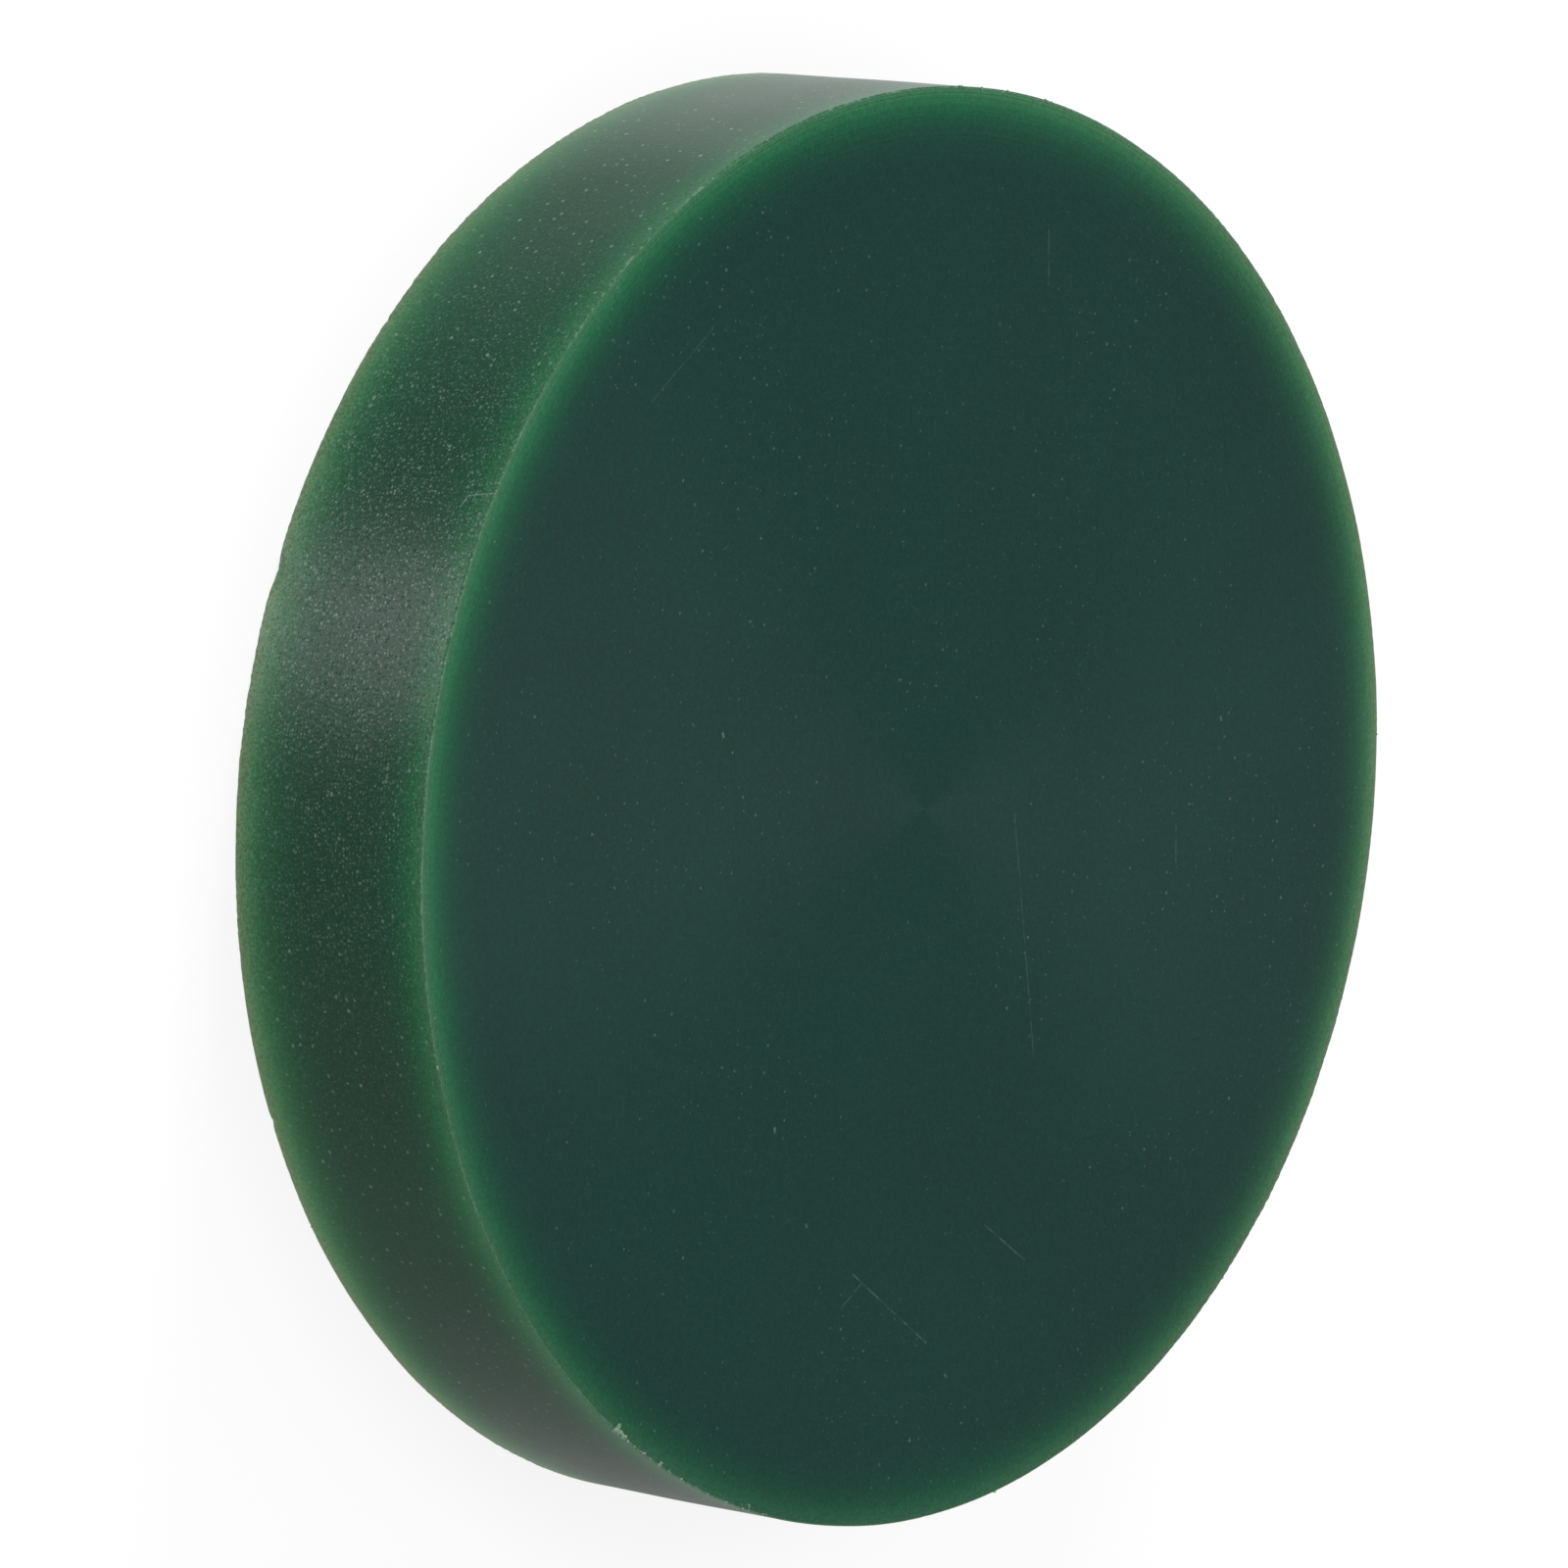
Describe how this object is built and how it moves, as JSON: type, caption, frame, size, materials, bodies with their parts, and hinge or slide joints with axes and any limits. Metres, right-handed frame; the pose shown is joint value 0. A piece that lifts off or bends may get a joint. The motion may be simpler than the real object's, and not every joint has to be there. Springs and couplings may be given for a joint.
{
  "type": "puck",
  "caption": "Flat round one-piece puck with square, lightly broken edges, in dark green translucent waxy plastic.",
  "frame": {"origin": "centre of the underside, with the puck lying flat", "axes": "+Z along the disc's axis, from the underside to the top face; the disc is the same all round, so +X and +Y are free"},
  "size_m": [0.0762, 0.0762, 0.0132],
  "materials": {
    "waxy_plastic": "dark green translucent, satin turned faces, finely grained rim"
  },
  "bodies": {
    "root": {"puck_body": "waxy_plastic"}
  },
  "joints": []
}
